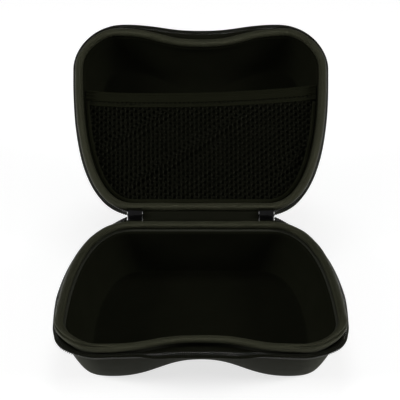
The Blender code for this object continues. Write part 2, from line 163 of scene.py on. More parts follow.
def mesh_object(name, points, faces, uvs=None, into=None, materials=(), slots=None):
    """Mesh from points in millimetres, with face corners' texture places in millimetres."""
    mesh = bpy.data.meshes.new(name)
    mesh.from_pydata([tuple(v) for v in points], [], faces)
    if uvs is not None:
        layer = mesh.uv_layers.new(name="weave")
        layer.data.foreach_set("uv", np.asarray(uvs, np.float32).ravel())
    if into is not None:
        mesh.transform(into)
    for m in materials:
        mesh.materials.append(m)
    if slots is not None:
        mesh.polygons.foreach_set("material_index", np.asarray(slots, np.int32))
    mesh.shade_smooth()
    mesh.update()
    made = bpy.data.objects.new(name, mesh)
    bpy.context.scene.collection.objects.link(made)
    return made


def grid(points, closed_rows=False, closed_columns=False, caps=False):
    """Faces and texture places of a grid of points, rows by columns."""
    rows, columns = points.shape[:2]
    across = np.concatenate([points, points[:, :1]], 1) if closed_columns else points
    down = np.concatenate([points, points[:1]], 0) if closed_rows else points
    u = np.cumsum(np.linalg.norm(np.diff(across, axis=1), axis=2), axis=1)
    u = np.concatenate([np.zeros((rows, 1)), u], 1)
    v = np.cumsum(np.linalg.norm(np.diff(down, axis=0), axis=2), axis=0)
    v = np.concatenate([np.zeros((1, columns)), v], 0)
    middle = u[rows // 2]
    faces, uvs = [], []
    for r in range(rows if closed_rows else rows - 1):
        for c in range(columns if closed_columns else columns - 1):
            r2, c2 = (r + 1) % rows, (c + 1) % columns
            faces.append((r * columns + c, r * columns + c2, r2 * columns + c2, r2 * columns + c))
            uvs += [(middle[c], v[r, c]), (middle[c + 1], v[r, c2]),
                    (middle[c + 1], v[r + 1, c2]), (middle[c], v[r + 1, c])]
    if caps:
        first = [r * columns for r in range(rows)]
        last = [r * columns + columns - 1 for r in range(rows)]
        for ring in (first[::-1], last):
            faces.append(tuple(ring))
            uvs += [(0.0, 0.0)] * rows
    return faces, uvs


def grid_object(name, points, into, materials, closed_rows=False, closed_columns=False, caps=False):
    faces, uvs = grid(points, closed_rows, closed_columns, caps)
    made = mesh_object(name, points.reshape(-1, 3), faces, uvs, into, materials)
    recalculate(made)
    return made


def recalculate(item):
    """Turns all faces outwards."""
    shape = bmesh.new()
    shape.from_mesh(item.data)
    bmesh.ops.recalc_face_normals(shape, faces=shape.faces)
    shape.to_mesh(item.data)
    shape.free()


# Materials

class Shader:
    """Small helper to build a node material."""

    def __init__(self, name):
        self.material = bpy.data.materials.new(name)
        self.material.use_nodes = True
        self.tree = self.material.node_tree
        self.main = self.tree.nodes["Principled BSDF"]

    def node(self, kind, **values):
        made = self.tree.nodes.new(kind)
        for key, value in values.items():
            setattr(made, key, value)
        return made

    def link(self, a, b):
        self.tree.links.new(a, b)

    def weave_place(self, scale):
        """The surface's own coordinates in millimetres over a size."""
        uv = self.node("ShaderNodeUVMap", uv_map="weave")
        sized = self.node("ShaderNodeVectorMath", operation="SCALE")
        sized.inputs["Scale"].default_value = 1 / scale
        self.link(uv.outputs[0], sized.inputs[0])
        return sized.outputs[0]

    def object_place(self, scale):
        place = self.node("ShaderNodeTexCoord")
        sized = self.node("ShaderNodeVectorMath", operation="SCALE")
        sized.inputs["Scale"].default_value = 1000 / scale
        self.link(place.outputs["Object"], sized.inputs[0])
        return sized.outputs[0]

    def math(self, operation, a, b=None):
        made = self.node("ShaderNodeMath", operation=operation)
        for socket, value in zip(made.inputs, (a, b)):
            if value is None:
                continue
            if isinstance(value, (int, float)):
                socket.default_value = value
            else:
                self.link(value, socket)
        return made.outputs[0]

    def split(self, vector):
        made = self.node("ShaderNodeSeparateXYZ")
        self.link(vector, made.inputs[0])
        return made.outputs[0], made.outputs[1]

    def noise(self, place, detail=3.0, rough=0.55):
        made = self.node("ShaderNodeTexNoise")
        made.inputs["Scale"].default_value = 1.0
        made.inputs["Detail"].default_value = detail
        made.inputs["Roughness"].default_value = rough
        self.link(place, made.inputs["Vector"])
        return made.outputs["Fac"]

    def colour(self, factor, low, high):
        made = self.node("ShaderNodeMix", data_type="RGBA")
        self.link(factor, made.inputs[0])
        made.inputs[6].default_value = (*low, 1)
        made.inputs[7].default_value = (*high, 1)
        self.link(made.outputs[2], self.main.inputs["Base Color"])

    def between(self, factor, low, high, socket):
        made = self.node("ShaderNodeMapRange")
        self.link(factor, made.inputs["Value"])
        made.inputs["To Min"].default_value = low
        made.inputs["To Max"].default_value = high
        self.link(made.outputs[0], self.main.inputs[socket])

    def bump(self, height, distance):
        made = self.node("ShaderNodeBump")
        made.inputs["Distance"].default_value = distance * MM
        made.inputs["Strength"].default_value = 1.0
        self.link(height, made.inputs["Height"])
        self.link(made.outputs[0], self.main.inputs["Normal"])

    def set(self, **values):
        for key, value in values.items():
            self.main.inputs[key.replace("_", " ")].default_value = value

    def olive(self):
        """Black dye with a yellow-green cast, in what the threads reflect too."""
        self.set(Specular_Tint=(1.0, 1.0, 0.66, 1.0), Sheen_Tint=(1.0, 1.0, 0.70, 1.0))


def plain_weave(s, pitch):
    """Height of crossing threads, one up and one down."""
    x, y = s.split(s.weave_place(pitch))
    warp = s.math("ABSOLUTE", s.math("SINE", s.math("MULTIPLY", x, math.pi)))
    weft = s.math("ABSOLUTE", s.math("SINE", s.math("MULTIPLY", y, math.pi)))
    cell = s.math("ADD", s.math("FLOOR", x), s.math("FLOOR", y))
    parity = s.math("MODULO", s.math("ABSOLUTE", cell), 2.0)
    rest = s.math("SUBTRACT", 1.0, parity)
    return s.math("ADD", s.math("MULTIPLY", warp, parity), s.math("MULTIPLY", weft, rest))


def shell_fabric():
    s = Shader("shell_fabric")
    s.olive()
    weave = plain_weave(s, 0.42)
    mottle = s.noise(s.object_place(9.0), 4.0)
    tone = s.math("ADD", s.math("MULTIPLY", weave, 0.5), s.math("MULTIPLY", mottle, 0.5))
    s.colour(tone, (0.0190, 0.0200, 0.0150), (0.0410, 0.0430, 0.0345))
    s.between(mottle, 0.68, 0.82, "Roughness")
    s.bump(s.math("ADD", s.math("MULTIPLY", weave, 0.6), s.math("MULTIPLY", mottle, 1.2)), 0.10)
    s.set(Sheen_Weight=0.02, Sheen_Roughness=0.5, Specular_IOR_Level=0.12)
    return s.material


def roll_fabric():
    """The roll's wrapped cloth: fine threads and soft lighter and darker streaks along it; the streaks in
    its colour are partly the cloth's uneven tone and partly painted highlights.
    """
    s = Shader("roll_fabric")
    s.olive()
    weave = plain_weave(s, 0.42)
    place = s.node("ShaderNodeVectorMath", operation="MULTIPLY")
    place.inputs[1].default_value = (0.32, 1.0, 1.0)
    s.link(s.weave_place(3.2), place.inputs[0])
    # Streaks along the roll: in the colour they are partly uneven tone and partly painted highlights,
    # copying streaky glints; they also set roughness and bumps
    streak_tone_and_highlight = s.noise(place.outputs[0], 4.0, 0.6)
    fibre = s.noise(s.object_place(0.5), 2.0)
    tone = s.math("ADD", s.math("MULTIPLY", weave, 0.30), s.math("MULTIPLY", streak_tone_and_highlight, 0.70))
    s.colour(tone, (0.0006, 0.0008, 0.0002), (0.0262, 0.0279, 0.0157))
    s.between(streak_tone_and_highlight, 0.36, 0.54, "Roughness")
    s.bump(s.math("ADD", s.math("MULTIPLY", weave, 0.6),
                  s.math("ADD", s.math("MULTIPLY", streak_tone_and_highlight, 2.2), s.math("MULTIPLY", fibre, 0.4))), 0.18)
    s.set(Sheen_Weight=0.03, Sheen_Roughness=0.5, Specular_IOR_Level=0.28)
    return s.material


def lining_fabric():
    s = Shader("lining_fabric")
    s.olive()
    knit = s.noise(s.object_place(0.7), 2.0)
    mottle = s.noise(s.object_place(14.0), 4.0)
    tone = s.math("ADD", s.math("MULTIPLY", knit, 0.4), s.math("MULTIPLY", mottle, 0.6))
    s.colour(tone, (0.0022, 0.0025, 0.0011), (0.0066, 0.0071, 0.0042))
    s.between(mottle, 0.88, 0.98, "Roughness")
    s.bump(s.math("ADD", knit, s.math("MULTIPLY", mottle, 2.0)), 0.12)
    s.set(Sheen_Weight=0.0, Specular_IOR_Level=0.06)
    return s.material


def tape_fabric():
    """Herringbone: diagonal threads that change direction every few threads across the tape."""
    s = Shader("tape_fabric")
    s.olive()
    x, y = s.split(s.weave_place(1.0))
    zig = s.math("PINGPONG", y, 1.5)
    chevron = s.math("SINE", s.math("MULTIPLY", s.math("ADD", x, zig), 2 * math.pi / 1.5))
    lift = s.math("MULTIPLY", s.math("ADD", chevron, 1.0), 0.5)
    mottle = s.noise(s.weave_place(4.0), 3.0)
    tone = s.math("ADD", s.math("MULTIPLY", lift, 0.75), s.math("MULTIPLY", mottle, 0.25))
    s.colour(tone, (0.0004, 0.0005, 0.0002), (0.0085, 0.0092, 0.0054))
    s.between(mottle, 0.70, 0.85, "Roughness")
    s.bump(lift, 0.20)
    s.set(Sheen_Weight=0.01, Sheen_Roughness=0.5, Specular_IOR_Level=0.08)
    return s.material


def band_fabric():
    """Ribbed elastic."""
    s = Shader("band_fabric")
    s.olive()
    x, y = s.split(s.weave_place(1.0))
    rib = s.math("ABSOLUTE", s.math("SINE", s.math("MULTIPLY", y, math.pi / 1.3)))
    pick = s.math("ABSOLUTE", s.math("SINE", s.math("MULTIPLY", x, math.pi / 0.6)))
    weave = s.math("ADD", s.math("MULTIPLY", rib, 0.6), s.math("MULTIPLY", pick, 0.4))
    mottle = s.noise(s.weave_place(6.0), 3.0)
    tone = s.math("ADD", s.math("MULTIPLY", weave, 0.65), s.math("MULTIPLY", mottle, 0.35))
    s.colour(tone, (0.0004, 0.0005, 0.0002), (0.0094, 0.0104, 0.0046))
    s.between(mottle, 0.62, 0.80, "Roughness")
    s.bump(weave, 0.22)
    s.set(Sheen_Weight=0.01, Sheen_Roughness=0.5, Specular_IOR_Level=0.07)
    return s.material


def net_fabric():
    """Knitted thread with small glints."""
    s = Shader("net_fabric")
    s.olive()
    twist = s.noise(s.object_place(0.5), 2.0)
    mottle = s.noise(s.object_place(12.0), 3.0)
    tone = s.math("ADD", s.math("MULTIPLY", twist, 0.5), s.math("MULTIPLY", mottle, 0.5))
    s.colour(tone, (0.0002, 0.0003, 0.0001), (0.0036, 0.0039, 0.0023))
    s.between(mottle, 0.34, 0.46, "Roughness")
    s.bump(twist, 0.10)
    s.set(Sheen_Weight=0.0, Specular_IOR_Level=0.06)
    return s.material


def nylon():
    s = Shader("coil_nylon")
    mottle = s.noise(s.object_place(3.0), 2.0)
    s.colour(mottle, (0.0060, 0.0062, 0.0046), (0.0220, 0.0230, 0.0170))
    s.between(mottle, 0.14, 0.24, "Roughness")
    s.bump(mottle, 0.02)
    s.set(Specular_IOR_Level=1.0)
    return s.material


def thread_look(name, low, high, gloss):
    s = Shader(name)
    twist = s.noise(s.object_place(0.3), 2.0)
    s.colour(twist, low, high)
    s.between(twist, 0.45, 0.6, "Roughness")
    s.bump(twist, 0.05)
    s.set(Sheen_Weight=0.01, Specular_IOR_Level=gloss)
    return s.material


def slider_finish():
    s = Shader("slider_finish")
    wear = s.noise(s.object_place(2.2), 6.0, 0.65)
    s.colour(wear, (0.016, 0.016, 0.017), (0.040, 0.040, 0.042))
    s.between(wear, 0.26, 0.44, "Roughness")
    s.bump(wear, 0.03)
    s.set(Metallic=0.85, Specular_IOR_Level=0.5)
    return s.material


SHELL_CLOTH = shell_fabric()
ROLL_CLOTH = roll_fabric()
LINING_CLOTH = lining_fabric()
TAPE_CLOTH = tape_fabric()
BAND_CLOTH = band_fabric()
NET_CLOTH = net_fabric()
COIL_NYLON = nylon()
ZIP_THREAD = thread_look("zip_thread", (0.008, 0.009, 0.005), (0.028, 0.030, 0.019), 0.25)
# The band's stitches are real, but their near-black thread, darker than the band itself, is painted shade
# for the stitch pits they sit in
BAND_THREAD_AND_SHADE = thread_look("band_thread_and_shade", (0.0002, 0.0002, 0.0001), (0.0010, 0.0011, 0.0006), 0.02)
SLIDER_METAL = slider_finish()


# Shells

PANEL_SHARES = (0.06, 0.3, 0.55, 0.75, 0.9, 0.97)
OUTER_CROWN = 0.5
INNER_CROWN = 0.4
LIP = 0.5
FILLET = 1.6


def level(flat, z):
    """Places on a plane with their height."""
    return np.concatenate([flat, np.full((len(flat), 1), z)], 1)


def wall_ring(top_line, floor_line, depth, top, t):
    """Ring of a bulged wall between the rim and the floor, at a share of the way down."""
    inward = 3 * (1 - t) * t * t * (1 - WALL_BULGE) + t ** 3
    down = 3 * (1 - t) ** 2 * t * WALL_BULGE + 3 * (1 - t) * t * t + t ** 3
    return level(top_line + (floor_line - top_line) * inward, top + (depth - top) * down)


def panel_ring(centre, edge, depth, crown, share):
    """Ring of a slightly crowned floor panel, at a share of the way out to its edge."""
    rise = crown * (1 - share ** 2) * smooth(0, 0.3, 1 - share)
    return level(centre + (edge - centre) * share, depth - rise)


def shell(name, floor, wall, depth, side, into, body, node):
    """Moulded tub with an outer cloth, a rounded rim and a lining, its flat panels slightly crowned."""
    rim, rim_out, _ = outline(RIM)
    low, low_out, _ = outline(floor)
    steps = np.linspace(0, 1, 27)
    centre = np.array([0.0, -(floor["rear"] + floor["lobe"]) * 0.47])
    outer_top = rim - rim_out * WALL_FACE_IN
    inner_top = rim - rim_out * (WALL_FACE_IN + wall)
    inner_low = low - low_out * wall
    rings = [panel_ring(centre, low, depth, OUTER_CROWN, share) for share in PANEL_SHARES]
    rings += [wall_ring(outer_top, low, depth, SHELL_TOP + LIP, t) for t in steps[::-1]]
    outer_count = len(rings)
    for a in (0.5, 1.0):
        z = SHELL_TOP + LIP - LIP * math.sin(a * math.pi / 2)
        rings.append(level(rim - rim_out * (WALL_FACE_IN + LIP * a), z))
    for a in np.linspace(0, math.pi / 2, 6)[:-1]:
        inset = WALL_FACE_IN + wall - FILLET + FILLET * math.sin(a)
        rings.append(level(rim - rim_out * inset, SHELL_TOP + FILLET * (1 - math.cos(a))))
    rings += [wall_ring(inner_top, inner_low, depth - wall, SHELL_TOP + FILLET, t) for t in steps]
    for share in PANEL_SHARES[::-1]:
        rings.append(panel_ring(centre, inner_low, depth - wall, INNER_CROWN, share))
    points = np.array(rings)
    points[:, :, 2] *= side
    faces, uvs = grid(points, closed_columns=True)
    columns = points.shape[1]
    first = tuple(range(columns))
    last = tuple(range((len(rings) - 1) * columns, len(rings) * columns))
    faces += [first, last]
    flat = points.reshape(-1, 3)[:, :2]
    panel_rows = len(PANEL_SHARES)
    for k in range(len(uvs) // 4):
        if not panel_rows <= k // columns < len(rings) - panel_rows - 1:
            uvs[4 * k:4 * k + 4] = [tuple(flat[i]) for i in faces[k]]
    uvs += [tuple(flat[i]) for i in first + last]
    slots = [0 if k // columns < outer_count + 2 else 1 for k in range(len(faces) - 2)] + [0, 1]
    made = mesh_object(name, points.reshape(-1, 3), faces, uvs, into, (SHELL_CLOTH, LINING_CLOTH), slots)
    recalculate(made)
    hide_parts(node)
    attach(made, body)
    return made


# Padded roll

ROLL_STEP = 0.8
ROLL_SIDES = 48


def rim_roll(name, side, into, body, node, seed):
    """Cloth-wrapped roll: soft swells and puckers, drawn in where it is sewn round the front corners."""
    q, out, where, at = spaced(*outline(RIM), ROLL_STEP)
    angles = np.arange(ROLL_SIDES) * 2 * math.pi / ROLL_SIDES
    count = len(q)
    total = at[-1] + (at[1] - at[0])
    turn = at / total * 2 * math.pi
    ring = np.stack([np.cos(turn), np.sin(turn), np.zeros(count)], 1) * total / (2 * math.pi)
    drift = waves(ring, 9.0, seed + 7) * 2.2
    along = waves(ring, 14.0, seed + 11)
    if side < 0:
        groove_at = np.radians(np.interp(where, (0.95, 1.0, 1.2, 1.37, 1.55, 1.72, 1.9, 2.1),
                                         (0, 5, 27, 43, 53, 57, 59, 62)))
        groove_on = smooth(0.93, 1.05, where) * (1 - smooth(1.9, 2.2, where))
        second_on = smooth(0.98, 1.08, where) * (1 - smooth(1.2, 1.32, where))
        gather_on = 0.35 * smooth(1.05, 1.3, where) * (1 - smooth(1.9, 2.2, where))
    else:
        groove_at = np.full(count, math.radians(60.0))
        groove_on = second_on = np.zeros(count)
        gather_on = smooth(1.05, 1.3, where) * (1 - smooth(2.0, 2.3, where)) + 0.2
    slim = 1 - 0.15 * smooth(1.9, 2.5, where) if side < 0 else np.ones(count)
    points = np.zeros((ROLL_SIDES, count, 3))
    for j, a in enumerate(angles):
        lift = np.array([0.0, 0.0, 1.0])
        swell = waves(ring + lift * 6 * math.sin(a), 12.0, seed) * 0.20
        fold = waves(ring * (1, 1, 0) + lift * (5 * a), 5.0, seed + 3) * 0.07
        fine = waves(ring + lift * 9 * math.cos(a), 1.7, seed + 5) * 0.05
        inner = 0.30 + 0.70 * smooth(-0.1, 0.9, -math.cos(a))
        phase = 2 * math.pi * at / 3.8 + 1.5 * a + drift
        gather = -0.46 * gather_on * inner * (0.5 + 0.5 * np.cos(phase)) ** 2 * (0.75 + 0.5 * along)
        away = (a - groove_at + math.pi) % (2 * math.pi) - math.pi
        groove = -1.15 * groove_on * np.exp(-(away / 0.17) ** 2)
        groove -= 0.45 * second_on * np.exp(-((away + 0.45) / 0.12) ** 2)
        beside = np.exp(-((away - 0.45) / 0.25) ** 2) + np.exp(-((away + 0.5) / 0.3) ** 2)
        grow = swell + fold + fine + gather + groove + 0.26 * groove_on * beside
        points[j, :, :2] = q + out * ((ROLL_WIDE + grow) * slim * math.cos(a))[:, None]
        points[j, :, 2] = side * (ROLL_DEPTH - (ROLL_TALL + grow) * slim * math.sin(a))
    made = grid_object(name, points, into, (ROLL_CLOTH,), closed_rows=True, closed_columns=True)
    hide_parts(node)
    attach(made, body)
    return made


# Zip

ZIP_START = 0.035
EASE_LENGTH = 9.0
KNEE_DEPTH = 6.6
KNEE_FLARED = np.array([0.90, KNEE_DEPTH])
KNEE_TUCKED = np.array([0.50, KNEE_DEPTH])
TAPE_ROOT = np.array([-2.6, 9.8])
TAPE_HEM = np.array([0.45, 8.6])
TAPE_HALF = 0.20
TAPE_BEND = 2.4
TAPE_RIB = 0.09
COIL_PITCH = 1.4
COIL_TURN = 14
COIL_SHAPE = 0.75
LEG = 1.58
LEG_LIFT = 0.50
WIRE = 0.27
TAPE_GAP = 0.02
LOCK_STEP = 0.2
LOCK_LONG = 6
LOCK_PITCH = 7
LOCK_RADIUS = 0.13

# The coil's way round the rim, from the slider to the middle of the front: place on the outline, then
# how far out of and below the roll's middle line the coil lies, and how far it is turned down from lying
# flat, in degrees
BASE_COIL = ((0.035, 5.2, 1.2, 8), (0.08, 4.9, 2.6, 25), (0.16, 4.4, 6.0, 50), (0.28, 4.2, 7.8, 62),
             (0.75, 4.4, 8.0, 68), (0.85, 3.6, 8.1, 70), (0.95, 2.8, 8.1, 70), (1.08, 2.2, 8.1, 68),
             (1.18, 2.3, 8.0, 62), (1.3, 3.3, 8.2, 52), (1.45, 3.8, 8.1, 40), (1.6, 3.3, 7.8, 28),
             (1.8, 2.4, 7.5, 22), (2.1, 2.25, 7.35, 22), (2.2, 2.6, 7.3, 24), (2.32, 3.1, 7.2, 32),
             (2.45, 4.3, 7.9, 44), (2.6, 5.7, 8.75, 52), (2.8, 6.9, 8.8, 57), (3.0, 7.25, 8.85, 58))
LID_COIL = ((0.035, 5.2, 1.2, 8), (0.08, 4.3, 3.0, 28), (0.15, 3.1, 6.0, 52), (0.22, 2.7, 7.4, 64),
            (0.35, 2.9, 7.9, 68), (0.5, 3.15, 7.9, 70), (0.9, 3.15, 7.9, 70), (1.05, 3.25, 7.8, 65),
            (1.25, 3.6, 7.5, 50), (1.45, 4.1, 7.3, 40), (1.65, 4.45, 7.2, 34), (1.85, 4.75, 7.2, 30),
            (1.95, 5.25, 7.2, 28), (2.05, 6.05, 7.2, 25), (2.25, 6.65, 7.2, 22), (2.45, 7.75, 7.2, 22),
            (2.65, 8.85, 7.2, 22), (2.85, 9.55, 7.2, 22), (3.0, 9.75, 7.2, 22))

# How far the tape reaches past the coil's middle: place on the outline and reach, widest at the base's
# waist
TAPE_REACH = 1.25
BASE_REACH = ((2.1, TAPE_REACH), (2.2, 1.3), (2.32, 1.5), (2.45, 1.95))
LID_REACH = ((0.0, TAPE_REACH),)

HalfZip = namedtuple("HalfZip", "body side coil reach into seed")
BASE_ZIP = HalfZip("base", -1, BASE_COIL, BASE_REACH, IN_BASE, 3)
LID_ZIP = HalfZip("lid", 1, LID_COIL, LID_REACH, IN_LID, 4)

# Places along one half: rim points, their outward ways and lengths from the start, and in the section,
# outwards and down, the coil's middle, the tape's knee, the ways along and under the coil's legs, and
# the tape's reach
ZipRoute = namedtuple("ZipRoute", "rim out at coil knee way under reach")


def zip_route(half, step):
    """Places along the zip from one slider round the front to the other."""
    p, where = right_half(RIM, (500, 160, 200, 14))
    keep = where >= ZIP_START
    p, where = p[keep], where[keep]
    p = np.concatenate([p, p[:-1][::-1] * (-1, 1)])
    where = np.concatenate([where, where[:-1][::-1]])
    way = np.gradient(p, axis=0)
    out = np.stack([-way[:, 1], way[:, 0]], 1)
    out /= np.linalg.norm(out, axis=1)[:, None]
    straight = 1 - smooth(0.04, 0.22, where)
    out = out * (1 - straight)[:, None] + np.array([0.0, 1.0]) * straight[:, None]
    out /= np.linalg.norm(out, axis=1)[:, None]
    rim, out, where, at = spaced(p, out, where, step, closed=False)
    width = max(3, int(EASE_LENGTH / step) | 1)
    bell = np.hanning(width + 2)[1:-1]
    bell /= bell.sum()

    def eased(track, column):
        track = np.array(track)
        v = np.interp(where, track[:, 0], track[:, column])
        return np.convolve(np.pad(v, width // 2, mode="reflect", reflect_type="odd"), bell, "valid")

    line = np.stack([at, np.zeros_like(at), np.zeros_like(at)], 1)
    free = smooth(0.1, 0.4, where)
    wave = (waves(line, 19.0, half.seed) * 0.30 + waves(line, 7.0, half.seed + 1) * 0.08) * free
    coil = np.stack([eased(half.coil, 1) + 0.4 * wave, eased(half.coil, 2) + wave], 1)
    turned = np.radians(eased(half.coil, 3))
    way = np.stack([np.cos(turned), np.sin(turned)], 1)
    under = np.stack([-way[:, 1], way[:, 0]], 1)
    tuck = way[:, 1:]
    knee = KNEE_FLARED * (1 - tuck) + KNEE_TUCKED * tuck
    return ZipRoute(rim, out, at, coil, knee, way, under, eased(half.reach, 1))


def to_space(route, places, side):
    """Turns places in the section, outwards and down, into places in space."""
    return np.concatenate([route.rim + route.out * places[:, :1], side * places[:, 1:]], 1)


def zip_tape(half):
    """Woven tape: from its seam on the shell over a soft knee out to the coil."""
    route = zip_route(half, COIL_PITCH / 4)
    root = np.broadcast_to(TAPE_ROOT, route.knee.shape)
    hem = np.broadcast_to(TAPE_HEM, route.knee.shape)
    edge = route.coil + route.way * route.reach[:, None]
    edge = edge - route.under * (LEG_LIFT + WIRE + TAPE_HALF + TAPE_GAP)
    bend = edge - route.way * TAPE_BEND
    rib = route.under * (TAPE_RIB * (1 - np.cos(2 * math.pi * route.at / COIL_PITCH)))[:, None]
    spine = [root, root + (hem - root) * 0.5]
    for k in np.linspace(0, 1, 15):
        curve = (1 - k) ** 3 * hem + 3 * k * (1 - k) ** 2 * route.knee
        curve = curve + 3 * k * k * (1 - k) * bend + k ** 3 * edge
        spine.append(curve + rib * smooth(0.5, 0.7, k))
    spine = np.array(spine)
    tangent = np.gradient(spine, axis=0)
    tangent /= np.linalg.norm(tangent, axis=2)[:, :, None]
    normal = np.stack([-tangent[:, :, 1], tangent[:, :, 0]], 2)
    ring = np.concatenate([spine + normal * TAPE_HALF, (spine - normal * TAPE_HALF)[::-1]])
    points = np.array([to_space(route, places, half.side) for places in ring])
    name = half.body + "_tape_cloth"
    made = grid_object(name, points, half.into, (TAPE_CLOTH,), closed_rows=True, caps=True)
    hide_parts(half.body + "_zip_tape")
    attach(made, half.body)
    return made


def zip_coil(half):
    """Nylon coil: a true flattened helix along the tape's edge, one turn to a tooth."""
    route = zip_route(half, COIL_PITCH / COIL_TURN)
    phase = 2 * math.pi * np.arange(len(route.at)) / COIL_TURN
    c, s = np.cos(phase), np.sin(phase)
    across = np.sign(c) * np.abs(c) ** COIL_SHAPE * LEG
    thick = np.sign(s) * np.abs(s) ** COIL_SHAPE * LEG_LIFT
    line = route.coil + route.way * across[:, None] + route.under * thick[:, None]
    path = to_space(route, line, half.side)
    core = to_space(route, route.coil, half.side)
    made = wire_object(half.body + "_coil_teeth", path, core, WIRE, 6, half.into, COIL_NYLON)
    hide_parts(half.body + "_zip_coil")
    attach(made, half.body)
    return made


def wire_object(name, path, core, radius, sides, into, material):
    """Round wire along a path that winds about a core."""
    tangent = np.gradient(path, axis=0)
    tangent /= np.linalg.norm(tangent, axis=1)[:, None]
    away = path - core
    away -= tangent * (away * tangent).sum(1)[:, None]
    away /= np.linalg.norm(away, axis=1)[:, None]
    third = np.cross(tangent, away)
    angles = np.arange(sides) * 2 * math.pi / sides
    points = np.array([path + radius * (away * math.cos(a) + third * math.sin(a)) for a in angles])
    return grid_object(name, points, into, (material,), closed_rows=True, caps=True)


def stitch_object(name, starts, stops, lift, radius, into, material):
    """Row of sewing stitches: short threads that dive in at both ends."""
    points, faces = [], []
    sides, steps = 6, 7
    for a, b, n in zip(starts, stops, lift):
        t = np.linspace(0, 1, steps)[:, None]
        line = a + (b - a) * t + n * (np.sin(t * math.pi) ** 0.6 - 0.55) * radius * 2.2
        way = b - a
        way = way / np.linalg.norm(way)
        n = n / np.linalg.norm(n)
        third = np.cross(way, n)
        base = len(points)
        for k in range(steps):
            for j in range(sides):
                angle = 2 * math.pi * j / sides
                points.append(line[k] + radius * (n * math.cos(angle) + third * math.sin(angle)))
        for k in range(steps - 1):
            for j in range(sides):
                j2 = (j + 1) % sides
                faces.append((base + k * sides + j, base + k * sides + j2,
                              base + (k + 1) * sides + j2, base + (k + 1) * sides + j))
        faces.append(tuple(base + j for j in reversed(range(sides))))
        faces.append(tuple(base + (steps - 1) * sides + j for j in range(sides)))
    return mesh_object(name, points, faces, None, into, (material,))


def zip_stitches(half):
    """Lock stitches that hold the coil on the tape, seen on the tape's inner face."""
    route = zip_route(half, LOCK_STEP)
    first = np.arange(4, len(route.at) - LOCK_LONG - 1, LOCK_PITCH)
    starts, stops, lift = [], [], []
    face = LEG_LIFT + WIRE + 2 * (TAPE_HALF + TAPE_GAP)
    for k in (-0.55, 0.35):
        row = route.coil + route.way * (k - 0.9 * (route.reach - TAPE_REACH))[:, None] - route.under * face
        place = to_space(route, row, half.side)
        up = to_space(route, row - route.under, half.side) - place
        starts += list(place[first])
        stops += list(place[first + LOCK_LONG - 1])
        lift += list(up[first])
    name = half.body + "_coil_stitches"
    made = stitch_object(name, starts, stops, lift, LOCK_RADIUS, half.into, ZIP_THREAD)
    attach(made, half.body)
    return made


# Lid pocket

NET_LEVEL = 6.6
NET_SAG = 1.5
NET_THREAD = 0.32
NET_FIRST_ROW = 10.6
BAND_HALF = 0.66
BAND_LEAF = 0.45
BAND_FOLD = 0.985
BAND_SEAM = 0.33


def band_low(x):
    """The band's lower edge: askew, and lowest at the middle."""
    return POCKET_HEIGHT + POCKET_SKEW * x + POCKET_SAG * x * x


def band_wide(x):
    """The elastic is pulled a little wider where it is sewn in."""
    return BAND_WIDTH - 0.1 + 0.3 * smooth(60, 82, np.abs(x)) + 0.5 * smooth(60, 82, -x)


def lining_edge(inset):
    """Closed outline of the lid's lining at the rim, moved inwards."""
    p, out, _ = outline(RIM)
    return p - out * (WALL_FACE_IN + LID_WALL + inset)


def edge_reach(u, edge):
    """Half-width of the lining at distances from the hinge."""
    half = len(edge) // 2 + 1
    right = edge[:half]
    widest = int(np.argmax(right[:, 0]))
    order = np.argsort(-right[: widest + 1, 1])
    return np.interp(u, -right[: widest + 1, 1][order], right[: widest + 1, 0][order])


# Pulled creases across the net: where they start and end, their width, and how far they stand out
CREASES = [
    (-71.0, 50.0, -22.0, 78.5, 2.3, 1.3),
    (-66.0, 45.5, -14.0, 75.5, 1.8, -0.7),
    (-52.0, 22.5, 31.0, 75.5, 2.4, 1.4),
    (-48.0, 19.0, 36.0, 72.0, 1.8, -0.8),
    (-30.0, 17.0, 12.0, 38.0, 1.8, 0.8),
    (50.0, 26.0, 76.0, 56.0, 1.8, 1.0),
    (55.0, 24.0, 79.0, 50.0, 1.5, -0.6),
    (2.0, 22.0, 50.0, 52.0, 1.7, 0.7),
]


def crease_frame(x, u, crease):
    """Distance off a crease, how strongly it is on there, and its direction."""
    x0, u0, x1, u1 = crease[:4]
    run = np.array([x1 - x0, u1 - u0])
    long = np.hypot(*run)
    run = run / long
    along = (x - x0) * run[0] + (u - u0) * run[1]
    off = (u - u0) * run[0] - (x - x0) * run[1]
    on = smooth(-7, 9, along) * (1 - smooth(long - 9, long + 7, along))
    return off, on, run


def net_depth(x, u):
    """Depth of the net below the rim plane: it hangs a little, with pulled creases across it."""
    edge = np.clip(np.minimum(u - 9.0, 82.0 - u) / 22.0, 0, 1) * np.clip((78 - np.abs(x)) / 22.0, 0, 1)
    sag = NET_SAG * np.sqrt(np.clip(edge, 0, 1))
    rise = np.zeros_like(x)
    for crease in CREASES:
        off, on, _ = crease_frame(x, u, crease)
        rise += crease[5] * on * np.exp(-(off / crease[4]) ** 2)
    return NET_LEVEL + sag - rise


def gathered(x, u):
    """The net's stitches are drawn together in the sheet along its standing creases."""
    move = np.zeros((len(x), 2))
    for crease in CREASES:
        if crease[5] > 0.9:
            off, on, run = crease_frame(x, u, crease)
            pull = -0.55 * off * on * np.exp(-(off / 4.6) ** 2)
            move += pull[:, None] * np.array([-run[1], run[0]])
    free = smooth(11.0, 18.0, u) * (1 - smooth(-2.0, 4.0, u - band_low(x)))
    return x + move[:, 0] * free, u + move[:, 1] * free


